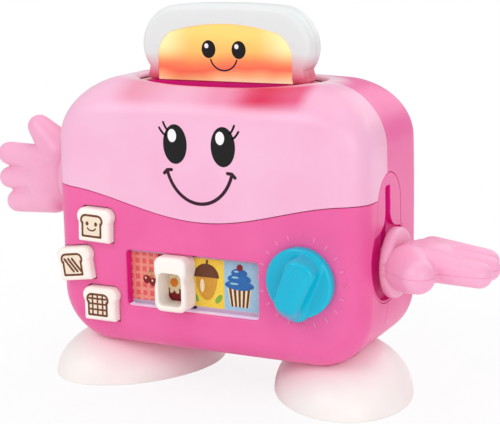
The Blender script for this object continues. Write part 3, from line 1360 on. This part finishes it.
def board(name, front, plan, extras):
    left, right, low, high = plan
    pieces = [box((left, front, low), (right, front + BOARD_THICK, high))] + extras
    return add_part(name, merged_union(*pieces), GREEN)


switches = []
for centre_x, centre_z, _ in BUTTONS.values():
    switches.append(box((centre_x - SWITCH_HALF, BUTTON_BOARD_FRONT - SWITCH_THICK, centre_z - SWITCH_HALF),
                        (centre_x + SWITCH_HALF, BUTTON_BOARD_FRONT + GAP, centre_z + SWITCH_HALF)))
button_board = board("button_board", BUTTON_BOARD_FRONT, BUTTON_BOARD_BOX, switches)
main_back = MAIN_BOARD_FRONT + BOARD_THICK
chips = [box((CHIP_X - CHIP_HALF, main_back - GAP, CHIP_Z - CHIP_HALF),
             (CHIP_X + CHIP_HALF, main_back + CHIP_THICK, CHIP_Z + CHIP_HALF))]
main_board = board("main_board", MAIN_BOARD_FRONT, MAIN_BOARD_BOX, chips)
cut(button_board, add_tool("board_peg_notch", rod("Y", peg_places("front_lower_shell")[0],
                                                  PEG_RADIUS + 2 * GAP, BUTTON_BOARD_FRONT - OVERRUN,
                                                  BUTTON_BOARD_FRONT + BOARD_THICK + OVERRUN, SMALL_SIDES)))
boards = {"button": (button_board, BUTTON_BOARD_FRONT), "main": (main_board, MAIN_BOARD_FRONT)}
for kind, (item, front) in boards.items():
    place = BOARD_POSTS[kind][0]
    cut(item, add_tool(f"{kind}_board_hole", rod("Y", place, SCREW_SHANK + GAP, front - OVERRUN,
                                                 front + BOARD_THICK + OVERRUN, SMALL_SIDES)))
    add_part(f"{kind}_board_screw",
             screw_bar("Y", place, front + BOARD_THICK + GAP, WALL + GAP, SCREW_HEAD), STEEL)

# Screws that close the two halves
for name, level in (("front_upper_shell", "upper"), ("front_lower_shell", "lower")):
    for place, word in zip(peg_places(name), ("left", "right")):
        add_part(f"shell_screw_{level}_{word}", screw_bar("Y", place, WELL_SEAT + GAP,
                                                          PARTING_DEPTH - SCREW_BITE, SCREW_HEAD), STEEL)

# Battery compartment
cell_zs = [CELL_LOW + CELL_RADIUS + index * CELL_PITCH for index in range(CELL_COUNT)]
tray_front = CELL_Y - CELL_RADIUS - CELL_SPACE - TRAY_WALL
tray_x = TRAY_HALF - GAP
tray_low = TRAY_LOW + GAP
tray_high = TRAY_HIGH - GAP
tray = add_part("battery_tray", box((-tray_x, tray_front, tray_low),
                                    (tray_x, INNER_BACK - GAP, tray_high)), BLACK)
cut(tray, add_tool("tray_room", box((-tray_x + TRAY_WALL, tray_front + TRAY_WALL, tray_low + TRAY_WALL),
                                    (tray_x - TRAY_WALL, BODY_DEPTH, tray_high - TRAY_WALL))))
contact_x = tray_x - TRAY_WALL - GAP
contacts = {-1: [], 1: []}
for index, up in enumerate(cell_zs):
    way = 1 if index % 2 else -1
    half = CELL_LONG / 2
    nub_low, nub_high = sorted((way * (half - CELL_NUB_LONG - GAP), way * half))
    low, high = sorted((-way * half, way * (half - CELL_NUB_LONG)))
    add_part(f"battery_{index + 1}", merged_union(
        rod("X", (CELL_Y, up), CELL_RADIUS, low, high),
        rod("X", (CELL_Y, up), CELL_NUB, nub_low, nub_high, SMALL_SIDES)), STEEL)
    for side in (-1, 1):
        low, high = sorted((side * (contact_x - CONTACT_PLATE / 2), side * (half + GAP)))
        ends = (CONTACT_TIP, CONTACT_FOOT) if side > 0 else (CONTACT_FOOT, CONTACT_TIP)
        contacts[side].append(rod("X", (CELL_Y, up), ends[0], low, high, SMALL_SIDES, ends[1]))
for side, word in ((-1, "left"), (1, "right")):
    near, far = sorted((side * contact_x, side * (contact_x - CONTACT_PLATE)))
    strip = box((near, CELL_Y - CELL_NUB * 2, cell_zs[0] - CELL_NUB * 2),
                (far, CELL_Y + CELL_NUB * 2, cell_zs[-1] + CELL_NUB * 2))
    add_part(f"{word}_battery_contact", merged_union(strip, *contacts[side]), STEEL)
door_x = TRAY_HALF - GAP
door_front = INNER_BACK + GAP
door_pieces = [box((-door_x, door_front, TRAY_LOW + GAP), (door_x, BODY_DEPTH, TRAY_HIGH - GAP))]
for index in range(DOOR_RIBS):
    x = door_x * DOOR_RIB_SPREAD_SHARE * (2 * index / (DOOR_RIBS - 1) - 1)
    door_pieces.append(box((x - DOOR_RIB_WIDE / 2, BODY_DEPTH - GAP, TRAY_LOW + 2 * DOOR_LAP),
                           (x + DOOR_RIB_WIDE / 2, BODY_DEPTH + DOOR_RIB_PROUD, TRAY_LOW + 4 * DOOR_LAP)))
door = add_part("battery_door", merged_union(*door_pieces), DEEP_PINK)
door_screw_z = TRAY_HIGH - 2 * DOOR_LAP
cut(door,
    add_tool("door_screw_seat", rod("Y", (0, door_screw_z), DOOR_SCREW_HEAD + GAP, BODY_DEPTH - WALL / 2,
                                    BODY_DEPTH + OVERRUN)),
    add_tool("door_screw_hole", rod("Y", (0, door_screw_z), SCREW_SHANK + GAP, INNER_BACK - OVERRUN,
                                    BODY_DEPTH + OVERRUN, SMALL_SIDES)))
head_front = BODY_DEPTH - WALL / 2 + GAP
add_part("battery_door_screw", merged_union(
    rod("Y", (0, door_screw_z), DOOR_SCREW_HEAD, head_front, BODY_DEPTH - GAP, SMALL_SIDES),
    rod("Y", (0, door_screw_z), SCREW_SHANK, INNER_BACK - GAP, head_front + GAP, SMALL_SIDES)), STEEL)

# Loudspeaker and the ring that holds it
speaker_back = INNER_BACK - GAP
speaker_front = speaker_back - SPEAKER_RIM - SPEAKER_CONE_DEEP - MAGNET_THICK
add_part("speaker", merged_union(
    rod("Y", (0, SPEAKER_Z), SPEAKER_RADIUS, speaker_back - SPEAKER_RIM, speaker_back, SPEAKER_SIDES),
    rod("Y", (0, SPEAKER_Z), MAGNET_RADIUS, speaker_back - SPEAKER_RIM - SPEAKER_CONE_DEEP,
        speaker_back - SPEAKER_RIM + GAP, SPEAKER_SIDES, SPEAKER_RADIUS - SPEAKER_RIM),
    rod("Y", (0, SPEAKER_Z), MAGNET_RADIUS + GAP, speaker_front,
        speaker_back - SPEAKER_RIM - SPEAKER_CONE_DEEP + GAP, SPEAKER_SIDES)), BLACK)
ring_seat = speaker_back - SPEAKER_RIM - GAP
ring_front = ring_seat - SPEAKER_RING_WALL
speaker_ring = add_part("speaker_ring", rod("Y", (0, SPEAKER_Z), SPEAKER_RADIUS + SPEAKER_RING_WALL,
                                            ring_front, speaker_back, SPEAKER_SIDES), BLACK)
cut(speaker_ring,
    add_tool("speaker_ring_seat", rod("Y", (0, SPEAKER_Z), SPEAKER_RADIUS + GAP, ring_seat, BODY_DEPTH,
                                      SPEAKER_SIDES)),
    add_tool("speaker_ring_bore", rod("Y", (0, SPEAKER_Z), SPEAKER_RADIUS - GAP, speaker_front, BODY_DEPTH,
                                      SPEAKER_SIDES)))

# Power switch
switch_front = INNER_BACK - GAP - SWITCH_BODY_DEEP
switch_mid = SWITCH_X + SWITCH_TRAVEL / 2
add_part("switch_body", box(
    (switch_mid - SWITCH_BODY_WIDE / 2, switch_front, SWITCH_Z - SWITCH_BODY_TALL / 2),
    (switch_mid + SWITCH_BODY_WIDE / 2, INNER_BACK - GAP, SWITCH_Z + SWITCH_BODY_TALL / 2)), STEEL)
add_part("switch_knob", box(
    (SWITCH_X - SWITCH_KNOB_WIDE / 2, INNER_BACK, SWITCH_Z - SWITCH_KNOB_TALL / 2),
    (SWITCH_X + SWITCH_KNOB_WIDE / 2, BODY_DEPTH + SWITCH_KNOB_PROUD, SWITCH_Z + SWITCH_KNOB_TALL / 2)),
    BLACK, (SWITCH_X, BODY_DEPTH, SWITCH_Z))


def centre_on_origin():
    """Moves the whole toy so that the middle of its outline lies over the origin."""
    bpy.context.view_layer.update()
    depsgraph = bpy.context.evaluated_depsgraph_get()
    depths = []
    for item in TOY.objects:
        if item.type == "EMPTY":
            continue
        solid = item.evaluated_get(depsgraph)
        mesh = solid.to_mesh()
        depths += [(item.matrix_world @ vert.co).y for vert in mesh.vertices]
        solid.to_mesh_clear()
    ROOT.location.y = -(min(depths) + max(depths)) / 2
    bpy.context.view_layer.update()


centre_on_origin()
print("front face at y =", round(ROOT.location.y, 6))
